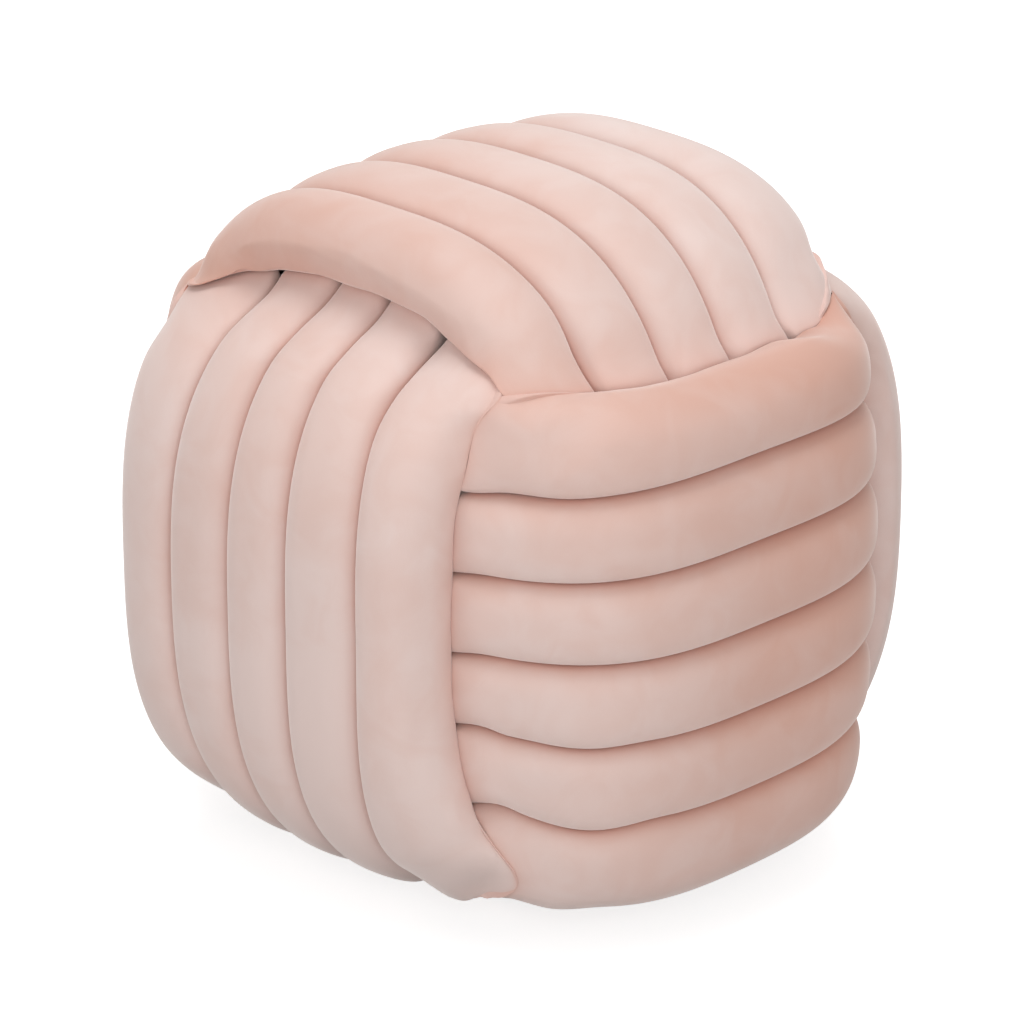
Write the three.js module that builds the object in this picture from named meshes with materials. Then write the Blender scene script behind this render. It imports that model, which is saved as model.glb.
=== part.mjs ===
// Velvet pouf: a knot of stuffed velvet tubes, laid side by side in bands.
// Millimetres, +Z up, origin on the floor under the middle of the pouf.
//
// Three bands cross as in a sailor's ball knot. The tubes of the top band run along X and
// lie over the ends of the front band. The front band runs up and down and lies over the
// ends of the side band. The side band runs along Y and lies over the ends of the top band.
import * as THREE from "three";
import { mergeVertices } from "three/addons/utils/BufferGeometryUtils.js";

// Driving dimensions
const KNOT_HEIGHT = 196; // middle of the knot above the floor
const KNOT_FORWARD = 4.01; // and before the origin, as the back bulges more than the front
const TUBE_THICKNESS = 48; // from a tube's crest to its inner side
const TUCK_THICKNESS = 14; // the flattened end of a tube, under the tube that crosses it
const TUCK_LENGTH = 40; // stretch over which an end flattens
const TUCK_NARROWING = 0.3; // how far a band's free edges draw in under the crossing tube
const SEAM_GAP = 0.3; // between two tubes that press on each other
const LIFT_GAP = 0.8; // between a tube and the crests of the tubes that it lies over
const SWELL = 1.06; // fullness of a tube beyond its share of the band
const SECTION_POWER = 2.8; // 2 is a round tube, higher is squarer
const FREE_POWER = 2.1; // the same for the free side of a band's edge tube
const EDGE_ROLL = 3; // drop of a band's free edge as it rolls over what lies below
const EDGE_ROUND = 8; // drop of a flattened end's surface at a band's free edge
const EDGE_MARGIN = 5; // kept clear beyond that free edge
const EDGE_WIDTH = 20; // stretch before that free edge over which the surface drops
const EDGE_FALL = 2.5; // widths over which the lift is followed down beyond it
const END_RAMP = 12; // stretch over which the lift sets in, before the end that is lain over
const REACH_DROP = 0.8; // share of that drop by which the end's path shortens
const LOBE_REACH = 165; // half length at which `lobe` is read
const LOBE_POWER = 10; // how late a lobe sets in
const LOBE_DIP = 0.15; // drop of a lobe, as a share of its width
const REACH = 150; // half length at which `fan` and `crown` are read

// Mesh fineness
const OUTER_SIDES = 10;
const INNER_SIDES = 5;
const STEPS = 16;

// Each face of the knot shows one band of tubes, described in the band's own frame:
// X along the tubes, Y across them, Z outward from the knot's middle.
// axes: where the band's X, Y and Z point
// out: height of the crest above the knot's middle    along: half length of its closed path
// power: squareness of the path                       crown: drop of the crest at REACH across
// fan: narrowing of the seams at REACH
// firstFan, lastFan: of the free edges, towards the tubes' starts and ends
// seams: the free edges and the seams, across the band
// from, to: angles from the crest at which a tube starts and ends
// tuck: the last degrees of the path, where the free edges draw in
// fullEnd: true where the tubes end round and don't flatten under a crossing tube
// lobe: widening of the last free edge where its tube starts, at LOBE_REACH
// first, last: the faces whose tube ends the first and the last tube lie over
const FACES = {
  top: {
    axes: ["+X", "+Y", "+Z"],
    out: 238, along: 182, power: 2.85, crown: 12, fan: 0.1,
    firstFan: [0.01, 0.01], lastFan: [0.01, 0.01],
    seams: [-135, -89, -30, 27, 86, 150],
    from: -54.5, to: 54.5, tuck: 11, lobe: 0, fullEnd: false, first: "front", last: "back",
  },
  bottom: {
    axes: ["+X", "-Y", "-Z"],
    out: 202, along: 181, power: 3, crown: 0, fan: 0.1,
    firstFan: [-0.1, -0.1], lastFan: [-0.1, -0.1],
    seams: [-100.3, -60, -20, 20, 60, 100.3],
    from: -54.5, to: 54.5, tuck: 11, lobe: 0, fullEnd: false, first: null, last: null,
  },
  front: {
    axes: ["-Z", "+X", "-Y"],
    out: 213, along: 198, power: 3, crown: 15, fan: 0.115,
    firstFan: [0, 0], lastFan: [0, -0.18],
    seams: [-146, -86, -31, 19, 76, 119.5],
    from: -60, to: 60.8, tuck: 5, lobe: 8.5, fullEnd: true, first: "left", last: "right",
  },
  back: {
    axes: ["-Z", "-X", "+Y"],
    out: 221, along: 201, power: 3, crown: 14, fan: 0.115,
    firstFan: [0.05, 0.05], lastFan: [-0.08, -0.1],
    seams: [-154, -92, -31, 28, 84, 127],
    from: -60, to: 60.8, tuck: 8, lobe: 1, fullEnd: true, first: "right", last: "left",
  },
  right: {
    axes: ["+Y", "+Z", "+X"],
    out: 223, along: 169, power: 3.15, crown: 10, fan: 0.065,
    firstFan: [0.04, 0.04], lastFan: [-0.045, -0.045],
    seams: [-169, -106, -53, 0, 53, 106, 156],
    from: -61, to: 57.5, tuck: 4, lobe: 0, fullEnd: false, first: "bottom", last: "top",
  },
  left: {
    axes: ["-Y", "+Z", "-X"],
    out: 223, along: 164, power: 3.15, crown: 10, fan: 0.065,
    firstFan: [0.02, 0.02], lastFan: [0.01, 0.01],
    seams: [-166, -106, -53, 0, 53, 106, 148],
    from: -61, to: 60, tuck: 10, lobe: 0, fullEnd: false, first: "bottom", last: "top",
  },
};

const velvet = new THREE.MeshStandardMaterial({ color: 0xe2bdb1, roughness: 0.85, metalness: 0 });

function direction(name) {
  const sign = name[0] === "-" ? -1 : 1;
  return new THREE.Vector3(
    name[1] === "X" ? sign : 0,
    name[1] === "Y" ? sign : 0,
    name[1] === "Z" ? sign : 0,
  );
}

// The crest of a band: part of a closed rounded-square path in its XZ plane.
class CrestCurve extends THREE.Curve {
  constructor(face) {
    super();
    this.face = face;
  }

  getPoint(t, target = new THREE.Vector3()) {
    const { out, along, power, from, to } = this.face;
    const angle = THREE.MathUtils.degToRad(THREE.MathUtils.lerp(from, to, t));
    const acrossPart = (Math.abs(Math.sin(angle)) / along) ** power;
    const outPart = (Math.cos(angle) / out) ** power;
    const radius = (acrossPart + outPart) ** (-1 / power);
    return target.set(radius * Math.sin(angle), 0, radius * Math.cos(angle));
  }
}

// Share of the path at a row of the tube's net, with rows closer together near the ends.
function rowStation(row) {
  const even = row / STEPS;
  const eased = 0.5 - 0.5 * Math.cos(Math.PI * even);
  return 0.5 * even + 0.5 * eased;
}

// Angle around the section at a column of the net: more columns on the side that shows.
function columnAngle(column) {
  if (column <= OUTER_SIDES) {
    return (Math.PI * column) / OUTER_SIDES;
  }
  return Math.PI + (Math.PI * (column - OUTER_SIDES)) / INNER_SIDES;
}

// Where a seam of a face's band runs across it, at a place on its path.
function seamAt(face, number, along, out) {
  const isEdge = number === 0 || number === face.seams.length - 1;
  const edgeFan = number === 0 ? face.firstFan : face.lastFan;
  const fan = isEdge ? edgeFan[along < 0 ? 0 : 1] : face.fan;
  const angle = THREE.MathUtils.radToDeg(Math.atan2(Math.abs(along), out));
  const end = along < 0 ? -face.from : face.to;
  const tucked = THREE.MathUtils.smoothstep(angle, end - face.tuck, end);
  const drawnIn = isEdge ? TUCK_NARROWING * tucked : 0;
  return face.seams[number] * (1 - fan * (along / REACH) ** 2 - drawnIn);
}

// Lift a point of an edge tube off the tube ends of the face that it lies over.
function liftOff(point, face, below) {
  const across = point.x * direction(face.axes[0]).dot(direction(below.axes[1]));
  const along = point.z * direction(face.axes[2]).dot(direction(below.axes[0]));
  const edge = across < 0 ? 0 : below.seams.length - 1;
  const out = Math.abs(point.y);
  const beyond = Math.abs(across) - Math.abs(seamAt(below, edge, along, out)) - EDGE_MARGIN;
  const overEdge = THREE.MathUtils.clamp(1 + beyond / EDGE_WIDTH, 0, EDGE_FALL);
  const drop = below.crown * (across / REACH) ** 2 + EDGE_ROUND * overEdge ** 3;
  const crest = below.out - drop;
  const reach = below.along - REACH_DROP * drop;
  const surface = reach * Math.max(0, 1 - (out / crest) ** below.power) ** (1 / below.power);
  const rise = Math.max(0, surface + LIFT_GAP - point.z);
  const endOut = new CrestCurve(below).getPoint(along < 0 ? 0 : 1).z - TUCK_THICKNESS;
  point.z += rise * THREE.MathUtils.smoothstep(out, endOut - END_RAMP, endOut);
}

// One stuffed tube of a face, between its seam `number` and the next.
function tubeGeometry(face, number) {
  const crest = new CrestCurve(face);
  const length = crest.getLength();
  const last = face.seams.length - 2;
  const free = number === 0 ? -1 : number === last ? 1 : 0;
  const below = FACES[free < 0 ? face.first : free > 0 ? face.last : null];
  const sides = OUTER_SIDES + INNER_SIDES;
  const blank = new THREE.SphereGeometry(1, sides, STEPS);
  const net = blank.attributes.position;
  const columns = sides + 1;
  const point = new THREE.Vector3();
  for (let index = 0; index < net.count; index += 1) {
    const row = Math.floor(index / columns);
    const column = index % columns;
    const station = rowStation(row);
    const pole = row === 0 || row === STEPS;
    const nearPole = row === 1 || row === STEPS - 1;
    const closing = pole ? 0 : nearPole ? 0.9 : 1;

    const middle = crest.getPointAt(station);
    const tangent = crest.getTangentAt(station);
    const roundEnd = face.fullEnd && station > 0.5;
    const fromEnd = length * Math.min(station, 1 - station);
    const fullness = roundEnd ? 1 : THREE.MathUtils.smoothstep(fromEnd, 0, TUCK_LENGTH);
    const thickness = THREE.MathUtils.lerp(TUCK_THICKNESS, TUBE_THICKNESS, fullness);

    const low = seamAt(face, number, middle.x, middle.z);
    const lobe = free > 0 && middle.x < 0 ? face.lobe * (middle.x / LOBE_REACH) ** LOBE_POWER : 0;
    const high = seamAt(face, number + 1, middle.x, middle.z) + lobe;
    const half = (high - low) / 2;
    const angle = columnAngle(column % sides);
    const towards = -Math.cos(angle);
    const onFreeSide = towards * free > 0;
    const power = onFreeSide ? FREE_POWER : SECTION_POWER;
    const squareness = Math.abs(towards) ** power + Math.abs(Math.sin(angle)) ** power;
    const radius = closing * squareness ** (-1 / power);
    const swell = onFreeSide ? 1 : SWELL;
    let across = (low + high) / 2 + swell * half * radius * towards;
    if (free >= 0) {
      across = Math.max(across, low + SEAM_GAP / 2);
    }
    if (free <= 0) {
      across = Math.min(across, high - SEAM_GAP / 2);
    }
    const fromSeam = free > 0 ? across - low : high - across;
    const rollDrop = EDGE_ROLL + LOBE_DIP * lobe;
    const roll = free === 0 ? 0 : rollDrop * (fromSeam / (2 * half)) ** 2;
    const depth = (thickness / 2) * (1 - radius * Math.sin(angle));
    const drop = depth + face.crown * (across / REACH) ** 2 + roll;
    point.set(middle.x + tangent.z * drop, across, middle.z - tangent.x * drop);
    if (below) {
      liftOff(point, face, below);
    }
    if (face === FACES.bottom) {
      point.z = Math.min(point.z, KNOT_HEIGHT);
    }
    net.setXYZ(index, point.x, point.y, point.z);
  }
  blank.deleteAttribute("normal");
  blank.deleteAttribute("uv");
  const tube = mergeVertices(blank, 1e-4);
  tube.computeVertexNormals();
  return tube;
}

function faceGroup([name, face]) {
  const group = new THREE.Group();
  group.name = `${name}_band`;
  group.setRotationFromMatrix(new THREE.Matrix4().makeBasis(...face.axes.map(direction)));
  for (let number = 0; number < face.seams.length - 1; number += 1) {
    const mesh = new THREE.Mesh(tubeGeometry(face, number), velvet);
    mesh.name = `${name}_tube_${number + 1}`;
    group.add(mesh);
  }
  return group;
}

const knot = new THREE.Group();
knot.name = "knot";
knot.position.set(0, -KNOT_FORWARD, KNOT_HEIGHT);
Object.entries(FACES).forEach((entry) => knot.add(faceGroup(entry)));

const pouf = new THREE.Group();
pouf.name = "velvet_pouf";
pouf.add(knot);

export default pouf;
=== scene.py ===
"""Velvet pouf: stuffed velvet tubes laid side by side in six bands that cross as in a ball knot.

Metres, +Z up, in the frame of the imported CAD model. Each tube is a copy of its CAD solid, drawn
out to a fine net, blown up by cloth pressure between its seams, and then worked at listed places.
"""

import math

import bmesh
import bpy
import numpy as np
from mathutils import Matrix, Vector
from mathutils.bvhtree import BVHTree


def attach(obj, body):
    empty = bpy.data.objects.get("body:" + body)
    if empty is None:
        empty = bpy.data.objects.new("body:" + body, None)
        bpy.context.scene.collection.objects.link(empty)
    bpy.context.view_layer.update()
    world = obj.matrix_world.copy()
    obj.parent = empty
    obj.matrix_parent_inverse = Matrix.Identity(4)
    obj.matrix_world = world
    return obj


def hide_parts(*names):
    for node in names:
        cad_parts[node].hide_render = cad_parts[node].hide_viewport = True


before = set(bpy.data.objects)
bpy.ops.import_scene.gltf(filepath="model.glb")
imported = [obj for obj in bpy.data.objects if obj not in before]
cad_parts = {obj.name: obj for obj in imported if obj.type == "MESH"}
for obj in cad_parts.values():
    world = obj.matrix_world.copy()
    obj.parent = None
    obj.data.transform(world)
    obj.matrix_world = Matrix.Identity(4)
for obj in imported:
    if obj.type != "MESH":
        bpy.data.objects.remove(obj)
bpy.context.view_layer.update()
scene = bpy.context.scene

MILLIMETRE = 0.001
KNOT_MIDDLE = Vector((0, -0.00401, 0.196))

# Net of a tube
SAME_POINT = 0.01 * MILLIMETRE
TIP_FACES = 9  # a tube's end point has more faces around it than any other point
UPRIGHT_BANDS = ("front", "back")  # their lower ends are round, not flattened under another tube
LOW_END = 0.1
EDGE_TUBES = {  # the tubes at the edges of each band, whose ends are squeezed
    "top": ("1", "5"),
    "bottom": ("1", "5"),
    "front": ("1", "5"),
    "back": ("1", "5"),
    "right": ("1", "6"),
    "left": ("1", "6"),
}
RELAX_ROWS = 3
RELAX_ROUNDS = 2
NET_LEVELS = 2  # halvings of the CAD net before the tubes are stuffed
LAST_LEVELS = 1  # and after
FILL_ROUNDS = 6
FILL_SHARE = 0.9

# Stuffing
PRESSURE = 5
CLOTH_WEIGHT = 0.3
CLOTH_STEPS = 5
STUFFING_FRAMES = 20
GAP_REACH = 25 * MILLIMETRE
HELD_WITHIN = 0.8 * MILLIMETRE  # a point this close to the next tube stays where it is pressed
FREE_BEYOND = 3.0 * MILLIMETRE
LEAST_HOLD = 0.01
FLOOR_SKIN = 0.5 * MILLIMETRE
SWELL_LIMIT = 3.0 * MILLIMETRE
GAP_SHARE = 0.4  # share of the gap to its neighbour that a point may use up
LEAST_MOVE = 1e-9

# Where the tubes are pulled: the tube, a place on it, the reach of the pull around that place and
# the move at the place, in millimetres
PULLS = [
    # left corner of the top
    ("top_tube_1", (-118, -134, 368), 30, (-15, -12, -14)),
    ("front_tube_1", (-140, -140, 335), 34, (-6, -6, 0)),
    ("front_tube_1", (-148, -138, 338), 40, (-2, 1, 10)),
    ("left_tube_6", (-170, -118, 336), 50, (9, 9, 2)),
    ("left_tube_6", (-150, -122, 348), 30, (2, 0, 7)),
    ("top_tube_1", (-142, -104, 352), 30, (-3, 0, -7)),
    # far right corner of the top
    ("right_tube_6", (162, 88, 354), 46, (3, -3, -11)),
    ("right_tube_6", (150, 112, 358), 36, (3, -3, -7)),
    ("top_tube_5", (152, 109, 360), 36, (3, 3, -7)),
    ("back_tube_1", (131, 143, 352), 40, (-5, -13, 9)),
]
# The same, for pulls that are repeated half a turn further on
CORNER_PULLS = [
    # front corner of the top
    ("front_tube_5", (125, -148, 354), 26, (10, 3, 6)),
    ("front_tube_5", (132, -150, 338), 22, (-9, -1, 0)),
    ("right_tube_6", (137, -144, 348), 26, (-5, -2, 5)),
    ("right_tube_6", (135, -147, 338), 26, (-7, -2, 0)),
    ("right_tube_6", (146, -131, 350), 24, (2, -2, 3)),
    ("right_tube_6", (122, -156, 301), 24, (-1, -3, -4)),
    # foot of the front corner
    ("front_tube_5", (131, -150, 43), 46, (14, 6, 3)),
    ("front_tube_5", (112, -152, 34), 32, (1, -1, -4)),
    ("right_tube_1", (155, -132, 43), 40, (-1, -3, -4)),
    # low seams of the right side
    ("right_tube_1", (180, -120, 93), 45, (1, -1, -5)),
    ("right_tube_2", (181, -119, 96), 45, (1, -1, -5)),
    ("right_tube_2", (181, -121, 145), 40, (1, -1, -2)),
    ("right_tube_3", (184, -125, 148), 40, (1, -1, -2)),
    ("right_tube_1", (128, -152, 96), 28, (0, 0, 6)),
    ("right_tube_2", (128, -152, 96), 28, (0, 0, 6)),
    ("right_tube_2", (121, -158, 148), 28, (0, 0, 5)),
    ("right_tube_3", (121, -158, 148), 28, (0, 0, 5)),
]
# Where they are then stroked smooth: the tube, a place on it, the reach in millimetres and how
# many strokes it takes
STROKES = [
    ("top_tube_1", (-125, -135, 362), 30, 14),
    ("top_tube_5", (150, 112, 358), 38, 14),
    ("back_tube_1", (128, 143, 345), 40, 10),
]
# The same, for strokes that are repeated half a turn further on
CORNER_STROKES = [
    ("right_tube_6", (147, -128, 352), 48, 40),
    ("front_tube_5", (126, -150, 342), 36, 14),
    ("front_tube_5", (115, -152, 36), 44, 14),
    ("front_tube_5", (125, -150, 45), 50, 30),
]
OPPOSITE = {"front": "back", "right": "left"}
FULL_MIDDLE = 1.5  # above 1, a stroke has its full effect around its place and not only there

# Pressing together
PRESS_ROUNDS = 3
PRESS_REACH = 16 * MILLIMETRE
BESIDE_REACH = 4 * MILLIMETRE  # the same between the tubes of one band
CLOSE_FROM = 7 * MILLIMETRE  # gaps up to this between two bands close fully
CLOSE_SHARE = 0.45
PART_SHARE = 0.5
GENTLE_ROUNDS = 2
WIDE_ROUNDS = 10
# Corners of the top where the ends of three bands close up, and their reach, in millimetres
CORNERS = [(-138, -128, 345), (-134, 138, 345), (138, 128, 345)]
CORNER_REACH = 45
CORNER_GAP = 22 * MILLIMETRE  # how much wider a gap is closed there
CORNER_ROUNDS = 3

# Seams, and the shade painted in them and under crossing bands
BAND_INWARD = {
    "top": (0, 0, -1),
    "bottom": (0, 0, 1),
    "front": (0, 1, 0),
    "back": (0, -1, 0),
    "right": (-1, 0, 0),
    "left": (1, 0, 0),
}
SEW_REACH = 8 * MILLIMETRE
SEW_DEPTH = 3.5 * MILLIMETRE
SEAM_FALLOFF = 1.6
BEHIND = 0.3 * MILLIMETRE  # a tube further than this behind a point doesn't shade it
BEHIND_SHARE = 0.2  # nor one that is further behind it than this share of the gap
CROSS_REACH = 22 * MILLIMETRE
CROSS_SHADE = 0.85  # how much painted shade a point under a crossing band gets, as a share of the painted shade in a seam
CROSS_ROUNDS = 8
# Where a band's ends bend in under the band that crosses them: the band, a direction, how far
# along it from the origin the bend starts and ends, and the move at its end, in millimetres
TUCKS = [
    ("front", (0, 0, 1), 346, 366, (0, 10, 0)),
    ("back", (0, 0, 1), 346, 366, (0, -10, 0)),
]

# How pale each band is painted, partly the pile's own tone and partly painted light and shade: at
# the origin, its change per metre along X, Y and Z, and how much less pale it is on flanks that
# face a direction, a shade painted by the way a flank faces
PILE_AND_PAINTED_LIGHT = {
    "top": (0.62, (1.5, 2.2, 0), (0, 0, 0)),
    "bottom": (0.55, (0, 0, 0), (0, 0, 0)),
    "front": (1.05, (0, 0, -0.7), (0, 0, 0)),
    "back": (1.05, (0, 0, -0.7), (0, 0, 0)),
    "right": (0.28, (0, -3.2, 0), (0, 0, 0.25)),
    "left": (0.28, (0, 3.2, 0), (0, 0, 0.25)),
}
# The velvet's two tones, mixed by the paleness above, which carries painted light and shade as well
# as the pile's tone
ROSE = (0.68, 0.40, 0.32, 1)
BLUSH = (0.78, 0.62, 0.575, 1)
# Colour of the shade painted in the creases between tubes and under crossing bands
SHADE_ROSE = (0.64, 0.30, 0.22, 1)
SHEEN = (1, 0.94, 0.91, 1)
PATCHES_PER_METRE = 9
BRUSHMARKS_PER_METRE = 28
TUFTS_PER_METRE = 1500
PILE_HEIGHT = 0.3 * MILLIMETRE

# Studio
WHITE = (1, 1, 1, 1)
BLACK = (0, 0, 0, 1)
PAPER = (0.55, 0.55, 0.55, 1)
FLOOR_HALF_WIDTH = 8
FLOOR_GLOW = 0.75
ROOM_LIGHT = 0.41
LIGHT_DISTANCE = 2.6
# Each light's turn from the front towards the right and its rise, in degrees, its width in metres
# and its power in watts
LIGHTS = {
    "overhead": (0, 88, 1.6, 29.5),
    "camera side": (45, 20, 1.2, 20),
    "front": (-15, 20, 1.2, 8.5),
    "right": (105, 20, 1.2, 6.5),
    "behind": (225, 30, 1.6, 14),
}
VIEW_TURN = 45.087
VIEW_RISE = 22
VIEW_DISTANCE = 3.1034
VIEW_LENS = 177.79
SENSOR_WIDTH = 36
VIEW_END = 50
AIM_RIGHT = 2.37 * MILLIMETRE
AIM_UP = 9.6 * MILLIMETRE


def read_points(mesh):
    points = np.empty(len(mesh.vertices) * 3, np.float32)
    mesh.vertices.foreach_get("co", points)
    return points.reshape(-1, 3).astype(float)


def write_points(mesh, points):
    mesh.vertices.foreach_set("co", points.astype(np.float32).ravel())
    mesh.update()


def read_normals(mesh):
    normals = np.empty(len(mesh.vertices) * 3, np.float32)
    mesh.vertex_normals.foreach_get("vector", normals)
    return normals.reshape(-1, 3).astype(float)


def note_at_points(mesh, name, values):
    """Keep a number for each point of a mesh, for its finish to read."""
    mesh.attributes.new(name, "FLOAT", "POINT")
    mesh.attributes[name].data.foreach_set("value", values.astype(np.float32))


def even_out(mesh, values, rounds):
    """Average values at a mesh's points with those of the points next to them."""
    edges = np.empty(len(mesh.edges) * 2, np.int32)
    mesh.edges.foreach_get("vertices", edges)
    edges = edges.reshape(-1, 2)
    count = np.bincount(edges.ravel(), minlength=len(values))[:, None]
    for _ in range(rounds):
        total = np.zeros_like(values)
        np.add.at(total, edges[:, 0], values[edges[:, 1]])
        np.add.at(total, edges[:, 1], values[edges[:, 0]])
        values = 0.5 * values + 0.5 * total / count
    return values


def smooth_step(low, high, value):
    share = np.clip((value - low) / (high - low), 0, 1)
    return share * share * (3 - 2 * share)


def closeness(points, place, reach):
    """1 at a place, 0 at its reach and less beyond it, for both given in millimetres."""
    away = np.linalg.norm(points - np.array(place) * MILLIMETRE, axis=1) / (reach * MILLIMETRE)
    return 1 - away * away


def band_of(tube):
    return tube.split("_")[0]


def feel_shapes(sleeves):
    """The points of each tube, and a tree that finds the place on it nearest to a point."""
    points = {tube: read_points(sleeve.data) for tube, sleeve in sleeves.items()}
    trees = {}
    for tube, sleeve in sleeves.items():
        faces = [tuple(face.vertices) for face in sleeve.data.polygons]
        trees[tube] = BVHTree.FromPolygons(points[tube].tolist(), faces)
    return points, trees


def around(own, theirs, reach):
    """Which points lie within reach of the box around another tube's points."""
    return np.all(own > theirs.min(0) - reach, 1) & np.all(own < theirs.max(0) + reach, 1)


def relax_ends(net, tips):
    """Even out the ends of a net where the CAD tube is squeezed between two others."""
    loose = set(tips)
    for _ in range(RELAX_ROWS):
        loose |= {edge.other_vert(vert) for vert in loose for edge in vert.link_edges}
    for _ in range(RELAX_ROUNDS):
        bmesh.ops.smooth_vert(
            net, verts=list(loose), factor=0.5, use_axis_x=True, use_axis_y=True, use_axis_z=True
        )


def flatten_ends(net, tips):
    """Keep the rims of a tube's flattened ends sharp when its net is drawn out."""
    sharpness = net.edges.layers.float.new("crease_edge")
    for tip in tips:
        for face in tip.link_faces:
            for edge in face.edges:
                if tip not in edge.verts:
                    edge[sharpness] = 1


def cut_sleeve(node):
    """A new piece with the shape of a CAD tube, its triangles joined back to a net of quads."""
    net = bmesh.new()
    net.from_mesh(node.data)
    bmesh.ops.remove_doubles(net, verts=net.verts, dist=SAME_POINT)
    tips = [vert for vert in net.verts if len(vert.link_faces) > TIP_FACES]
    ends = {face for tip in tips for face in tip.link_faces}
    bmesh.ops.join_triangles(
        net,
        faces=[face for face in net.faces if face not in ends],
        angle_face_threshold=math.pi,
        angle_shape_threshold=math.pi,
    )
    if node.name.endswith(EDGE_TUBES[band_of(node.name)]):
        relax_ends(net, tips)
    upright = node.name.startswith(UPRIGHT_BANDS)
    flatten_ends(net, [tip for tip in tips if not upright or tip.co.z >= LOW_END])
    mesh = bpy.data.meshes.new(f"velvet_{node.name}")
    net.to_mesh(mesh)
    net.free()
    sleeve = bpy.data.objects.new(mesh.name, mesh)
    scene.collection.objects.link(sleeve)
    return sleeve


def take_shape(sleeve):
    """Make what the sleeve's modifiers show its own mesh."""
    depsgraph = bpy.context.evaluated_depsgraph_get()
    shown = bpy.data.meshes.new_from_object(sleeve.evaluated_get(depsgraph))
    worn = sleeve.data
    sleeve.modifiers.clear()
    sleeve.data = shown
    bpy.data.meshes.remove(worn)
    shown.name = sleeve.name


def draw_out(sleeve, levels):
    subdivision = sleeve.modifiers.new("finer net", "SUBSURF")
    subdivision.levels = levels
    subdivision.render_levels = levels


def fill_out(sleeve):
    """Widen the sleeve's net until its drawn-out surface runs through the points it was cut to."""
    cut = read_points(sleeve.data)
    depsgraph = bpy.context.evaluated_depsgraph_get()
    for _ in range(FILL_ROUNDS):
        shown = sleeve.evaluated_get(depsgraph).data
        lost = cut - read_points(shown)[:len(cut)]
        write_points(sleeve.data, read_points(sleeve.data) + FILL_SHARE * lost)
        depsgraph.update()


def gaps_to_neighbours(sleeves):
    """How far each point of each tube is from the nearest other tube."""
    points, trees = feel_shapes(sleeves)
    gaps = {}
    for tube, own in points.items():
        gaps[tube] = np.full(len(own), GAP_REACH)
        for other, tree in trees.items():
            if other == tube:
                continue
            for index in np.flatnonzero(around(own, points[other], GAP_REACH)):
                _, _, _, gap = tree.find_nearest(own[index], gaps[tube][index])
                if gap is not None:
                    gaps[tube][index] = min(gaps[tube][index], gap)
    return gaps


def hold_seams(sleeve, gap):
    """Pin the points that press on another tube or on the floor."""
    held = sleeve.vertex_groups.new(name="held")
    low = read_points(sleeve.data)[:, 2] < FLOOR_SKIN
    weights = np.maximum(1 - smooth_step(HELD_WITHIN, FREE_BEYOND, gap), low)
    for index in np.flatnonzero(weights > LEAST_HOLD):
        held.add([int(index)], float(weights[index]), "REPLACE")


def put_under_pressure(sleeve):
    cloth = sleeve.modifiers.new("stuffing", "CLOTH")
    cloth.settings.quality = CLOTH_STEPS
    cloth.settings.mass = CLOTH_WEIGHT
    cloth.settings.use_pressure = True
    cloth.settings.uniform_pressure_force = PRESSURE
    cloth.settings.effector_weights.gravity = 0
    cloth.settings.vertex_group_mass = "held"
    cloth.collision_settings.use_collision = False
    cloth.point_cache.frame_start = 1
    cloth.point_cache.frame_end = STUFFING_FRAMES


def limit_swelling(sleeve, start, gap):
    """Keep each point close to where it was cut, and clear of the next tube."""
    moved = read_points(sleeve.data) - start
    length = np.linalg.norm(moved, axis=1)
    allowed = np.minimum(SWELL_LIMIT, GAP_SHARE * gap)
    share = np.minimum(1, allowed / np.maximum(length, LEAST_MOVE))
    points = start + moved * share[:, None]
    points[:, 2] = np.maximum(points[:, 2], 0)
    write_points(sleeve.data, points)


def stuff(sleeves):
    """Blow the sleeves up by pressure, without gravity, and keep what comes out as their meshes."""
    gaps = gaps_to_neighbours(sleeves)
    starts = {tube: read_points(sleeve.data) for tube, sleeve in sleeves.items()}
    scene.use_gravity = False
    for tube, sleeve in sleeves.items():
        hold_seams(sleeve, gaps[tube])
        put_under_pressure(sleeve)
    for number in range(1, STUFFING_FRAMES + 1):
        scene.frame_set(number)
    for sleeve in sleeves.values():
        take_shape(sleeve)
    scene.frame_set(1)
    for tube, sleeve in sleeves.items():
        limit_swelling(sleeve, starts[tube], gaps[tube])


def half_turned(work):
    """The same handwork at the opposite corner."""
    tube, (x, y, z), reach, what = work
    band = band_of(tube)
    if isinstance(what, tuple):
        what = (-what[0], -what[1], what[2])
    return tube.replace(band, OPPOSITE[band]), (-x, -y, z), reach, what


def both_corners(work):
    return work + [half_turned(part) for part in work]


def pull_by_hand(sleeves):
    for tube, place, reach, move in PULLS + both_corners(CORNER_PULLS):
        mesh = sleeves[tube].data
        points = read_points(mesh)
        share = np.clip(closeness(points, place, reach), 0, 1) ** 2
        points += share[:, None] * np.array(move) * MILLIMETRE
        points[:, 2] = np.maximum(points[:, 2], 0)
        write_points(mesh, points)


def stroke_smooth(sleeves):
    for tube, place, reach, strokes in STROKES + both_corners(CORNER_STROKES):
        mesh = sleeves[tube].data
        points = read_points(mesh)
        share = np.clip(FULL_MIDDLE * closeness(points, place, reach), 0, 1)
        points += share[:, None] * (even_out(mesh, points, strokes) - points)
        write_points(mesh, points)


def near_corners(points):
    """How close points are to the corners of the top, from 0 to 1."""
    close = np.zeros(len(points))
    for corner in CORNERS:
        share = np.clip(FULL_MIDDLE * closeness(points, corner, CORNER_REACH), 0, 1)
        close = np.maximum(close, share)
    return close


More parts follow.
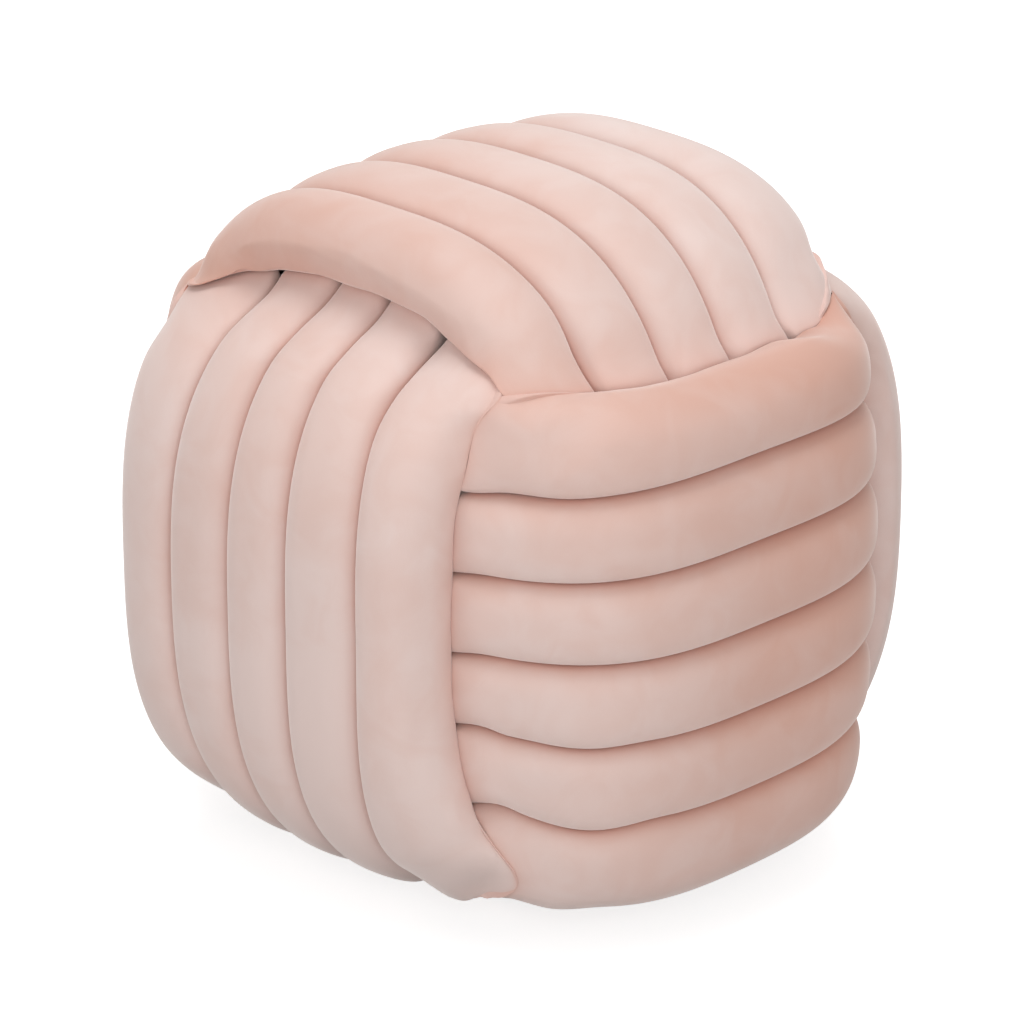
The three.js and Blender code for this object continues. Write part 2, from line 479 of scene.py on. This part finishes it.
def meet_neighbours(tube, points, trees, outward, wider):
    """How a tube's points move to meet the bands that cross it, and out of any other tube."""
    own = points[tube]
    move = np.zeros_like(own)
    for other, tree in trees.items():
        if other == tube:
            continue
        crossing = band_of(other) != band_of(tube)
        reach = PRESS_REACH + CORNER_GAP if crossing else BESIDE_REACH
        for index in np.flatnonzero(outward & around(own, points[other], reach)):
            within = PRESS_REACH + wider[index] if crossing else reach
            place, normal, _, gap = tree.find_nearest(own[index], within)
            if place is None:
                continue
            way = np.array(place) - own[index]
            if way @ np.array(normal) > 0:
                move[index] += PART_SHARE * way if gap < PRESS_REACH else 0
            elif crossing:
                fade = 1 - smooth_step(CLOSE_FROM, PRESS_REACH, gap - wider[index])
                move[index] += CLOSE_SHARE * fade * way
    return move


def press_together(sleeves):
    """Close the gaps where one band lies over another, and part what overlaps."""
    for _ in range(PRESS_ROUNDS):
        points, trees = feel_shapes(sleeves)
        for tube, sleeve in sleeves.items():
            own = points[tube]
            from_middle = own - np.array(KNOT_MIDDLE)
            outward = np.sum(read_normals(sleeve.data) * from_middle, axis=1) > 0
            corner = np.zeros(len(own)) if tube.startswith("top") else near_corners(own)
            move = meet_neighbours(tube, points, trees, outward, CORNER_GAP * corner)
            gentle = even_out(sleeve.data, move, GENTLE_ROUNDS)
            wide = even_out(sleeve.data, move, WIDE_ROUNDS)
            moved = own + gentle + corner[:, None] * (wide - gentle)
            moved += corner[:, None] * (even_out(sleeve.data, moved, CORNER_ROUNDS) - moved)
            moved[:, 2] = np.maximum(moved[:, 2], 0)
            write_points(sleeve.data, moved)


def depth_between(tube, normals, points, trees):
    """How deep a tube's points lie between the tubes of its band, and under the other bands."""
    own = points[tube]
    sewn = np.zeros(len(own))
    under = np.zeros(len(own))
    for other, tree in trees.items():
        if other == tube:
            continue
        beside = band_of(other) == band_of(tube)
        reach = SEW_REACH if beside else CROSS_REACH
        depth = sewn if beside else under
        for index in np.flatnonzero(around(own, points[other], reach)):
            place, _, _, gap = tree.find_nearest(own[index], reach)
            if place is None:
                continue
            ahead = (np.array(place) - own[index]) @ normals[index]
            if ahead > -BEHIND_SHARE * gap - BEHIND:
                depth[index] = max(depth[index], (1 - gap / reach) ** SEAM_FALLOFF)
    return sewn, under


def sew_seams(sleeves):
    """Draw the tubes of a band in where they are sewn together, and note at each point its painted
    shade, darker in a crease and under a crossing band.
    """
    points, trees = feel_shapes(sleeves)
    for tube, sleeve in sleeves.items():
        sewn, under = depth_between(tube, read_normals(sleeve.data), points, trees)
        inward = SEW_DEPTH * np.array(BAND_INWARD[band_of(tube)])
        write_points(sleeve.data, points[tube] + sewn[:, None] * inward)
        under = even_out(sleeve.data, under[:, None], CROSS_ROUNDS)[:, 0]
        # painted shade: the creases between tubes and the places under a crossing band are noted
        # darker
        note_at_points(sleeve.data, "seam", np.maximum(sewn, CROSS_SHADE * under))


def tuck_under(sleeves):
    for band, direction, start, end, move in TUCKS:
        for tube, sleeve in sleeves.items():
            if band_of(tube) != band:
                continue
            points = read_points(sleeve.data)
            along = points @ np.array(direction) / MILLIMETRE
            share = np.clip((along - start) / (end - start), 0, 1)
            points += share[:, None] * np.array(move) * MILLIMETRE
            write_points(sleeve.data, points)


def paint_pile_and_light(sleeve, band):
    """Note at each point of a sleeve how pale it is painted: partly the pile's own tone, and partly
    painted light and shade by place and by the way its flank faces.
    """
    level, change, facing_shade = PILE_AND_PAINTED_LIGHT[band]
    points = read_points(sleeve.data)
    # painted light and shade by place, and painted shade on flanks that face one way, over the
    # pile's tone
    nap = level + points @ np.array(change) - read_normals(sleeve.data) @ np.array(facing_shade)
    note_at_points(sleeve.data, "nap", nap)


class Value:
    """A socket of a finish. Arithmetic on it adds Math nodes."""

    def __init__(self, finish, socket):
        self.finish = finish
        self.socket = socket

    def math(self, operation, first, second):
        node = self.finish.node("ShaderNodeMath", {"operation": operation}, {0: first, 1: second})
        return node[0]

    def __add__(self, other):
        return self.math("ADD", self, other)

    __radd__ = __add__

    def __sub__(self, other):
        return self.math("SUBTRACT", self, other)

    def __rsub__(self, other):
        return self.math("SUBTRACT", other, self)

    def __mul__(self, other):
        return self.math("MULTIPLY", self, other)

    __rmul__ = __mul__


class Finish:
    """The nodes of a material or of the room, and the node that they end in."""

    def __init__(self, owner, end):
        owner.use_nodes = True
        self.tree = owner.node_tree
        self.end = self.tree.nodes[end]

    def node(self, kind, settings, sockets):
        """Add a node: its settings first, then the values or links of its sockets."""
        node = self.tree.nodes.new(kind)
        for name, value in settings.items():
            setattr(node, name, value)
        for name, value in sockets.items():
            self.feed(node.inputs[name], value)
        return [Value(self, socket) for socket in node.outputs]

    def feed(self, socket, value):
        if isinstance(value, Value):
            self.tree.links.new(value.socket, socket)
        else:
            socket.default_value = value

    def give(self, name, value):
        self.feed(self.end.inputs[name], value)

    def note(self, name):
        """A number that was kept at the points of a mesh."""
        return self.node("ShaderNodeAttribute", {"attribute_name": name}, {})[2]

    def grain(self, place, scale, detail, distortion):
        """Noise from 0 to 1 with features of about 1/scale metres."""
        sockets = {"Vector": place, "Scale": scale, "Detail": detail, "Distortion": distortion}
        return self.node("ShaderNodeTexNoise", {}, sockets)[0]

    def spread(self, value, low=0.3, high=0.7):
        """A value between two bounds, spread from 0 to 1 in a soft step."""
        sockets = {"Value": value, "From Min": low, "From Max": high}
        return self.node("ShaderNodeMapRange", {"interpolation_type": "SMOOTHSTEP"}, sockets)[0]

    def blend(self, share, first, second):
        """A colour between two colours."""
        sockets = {0: share, 6: first, 7: second}
        return self.node("ShaderNodeMix", {"data_type": "RGBA"}, sockets)[2]

    def seen_by_camera(self):
        return self.node("ShaderNodeLightPath", {}, {})[0]


def velvet_finish():
    material = bpy.data.materials.new("blush_velvet")
    velvet = Finish(material, "Principled BSDF")
    place = velvet.node("ShaderNodeTexCoord", {}, {})[3]
    # paleness that mixes the pile's own tone with painted light and shade
    pile_and_light = velvet.note("nap")
    # painted shade in the creases and under crossing bands
    seam = velvet.note("seam")
    patches = velvet.spread(velvet.grain(place, PATCHES_PER_METRE, 2, 0.6))
    brushmarks = velvet.spread(velvet.grain(place, BRUSHMARKS_PER_METRE, 3, 1.2))
    pile = velvet.grain(place, TUFTS_PER_METRE, 1, 0)
    uneven = 0.25 * patches + 0.15 * brushmarks + 0.1 * pile - 0.25
    colour = velvet.blend(pile_and_light + uneven, ROSE, BLUSH)
    # painted shade: blend towards the shade colour in the creases and under crossing bands
    colour = velvet.blend(0.7 * seam * seam, colour, SHADE_ROSE)
    velvet.give("Base Color", colour)
    velvet.give("Roughness", 0.78 + 0.12 * patches)
    velvet.give("Specular IOR Level", 0.2)
    velvet.give("Sheen Weight", 0.7)
    velvet.give("Sheen Roughness", 0.4)
    velvet.give("Sheen Tint", SHEEN)
    sockets = {"Strength": 0.15, "Distance": PILE_HEIGHT, "Height": pile}
    velvet.give("Normal", velvet.node("ShaderNodeBump", {}, sockets)[0])
    return material


def make_pouf():
    sleeves = {}
    for tube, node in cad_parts.items():
        sleeve = cut_sleeve(node)
        draw_out(sleeve, NET_LEVELS)
        fill_out(sleeve)
        take_shape(sleeve)
        sleeves[tube] = sleeve
    stuff(sleeves)
    pull_by_hand(sleeves)
    stroke_smooth(sleeves)
    press_together(sleeves)
    sew_seams(sleeves)
    tuck_under(sleeves)
    velvet = velvet_finish()
    for tube, sleeve in sleeves.items():
        draw_out(sleeve, LAST_LEVELS)
        take_shape(sleeve)
        sleeve.data.shade_smooth()
        paint_pile_and_light(sleeve, band_of(tube))
        sleeve.data.materials.clear()
        sleeve.data.materials.append(velvet)
        sleeve.vertex_groups.clear()
        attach(sleeve, "root")
        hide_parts(tube)


def lay_floor():
    floor = bpy.data.objects.new("floor", bpy.data.meshes.new("floor"))
    plane = bmesh.new()
    bmesh.ops.create_grid(plane, x_segments=1, y_segments=1, size=FLOOR_HALF_WIDTH)
    plane.to_mesh(floor.data)
    plane.free()
    scene.collection.objects.link(floor)
    material = bpy.data.materials.new("white_paper")
    paper = Finish(material, "Principled BSDF")
    paper.give("Base Color", PAPER)
    paper.give("Roughness", 0.9)
    paper.give("Specular IOR Level", 0)
    paper.give("Emission Color", paper.blend(paper.seen_by_camera(), BLACK, WHITE))
    paper.give("Emission Strength", FLOOR_GLOW)
    floor.data.materials.append(material)


def towards(turn, rise):
    """Direction from the pouf, turned from the front towards the right and raised, in degrees."""
    turn, rise = math.radians(turn), math.radians(rise)
    level = math.cos(rise)
    return Vector((math.sin(turn) * level, -math.cos(turn) * level, math.sin(rise)))


def hang_light(name, turn, rise, width, watts):
    light = bpy.data.objects.new(name, bpy.data.lights.new(name, "AREA"))
    scene.collection.objects.link(light)
    light.data.shape = "DISK"
    light.data.size = width
    light.data.energy = watts
    light.location = KNOT_MIDDLE + towards(turn, rise) * LIGHT_DISTANCE
    light.rotation_euler = (KNOT_MIDDLE - light.location).to_track_quat("-Z", "Y").to_euler()


def light_studio():
    scene.world = bpy.data.worlds.new("studio")
    room = Finish(scene.world, "World Output")
    light = room.node("ShaderNodeBackground", {}, {"Color": WHITE, "Strength": ROOM_LIGHT})[0]
    backdrop = room.node("ShaderNodeBackground", {}, {"Color": WHITE, "Strength": 1})[0]
    sockets = {0: room.seen_by_camera(), 1: light, 2: backdrop}
    room.give("Surface", room.node("ShaderNodeMixShader", {}, sockets)[0])
    for name, (turn, rise, width, watts) in LIGHTS.items():
        hang_light(name, turn, rise, width, watts)
    scene.view_settings.view_transform = "Standard"


def place_camera():
    camera = bpy.data.objects.new("camera", bpy.data.cameras.new("camera"))
    scene.collection.objects.link(camera)
    camera.data.lens = VIEW_LENS
    camera.data.sensor_width = SENSOR_WIDTH
    camera.data.clip_end = VIEW_END
    back = towards(VIEW_TURN, VIEW_RISE)
    right = towards(VIEW_TURN + 90, 0)
    up = back.cross(right)
    aim = KNOT_MIDDLE + right * AIM_RIGHT + up * AIM_UP
    camera.location = aim + back * VIEW_DISTANCE
    camera.rotation_euler = (-back).to_track_quat("-Z", "Y").to_euler()
    scene.camera = camera


make_pouf()
lay_floor()
light_studio()
place_camera()
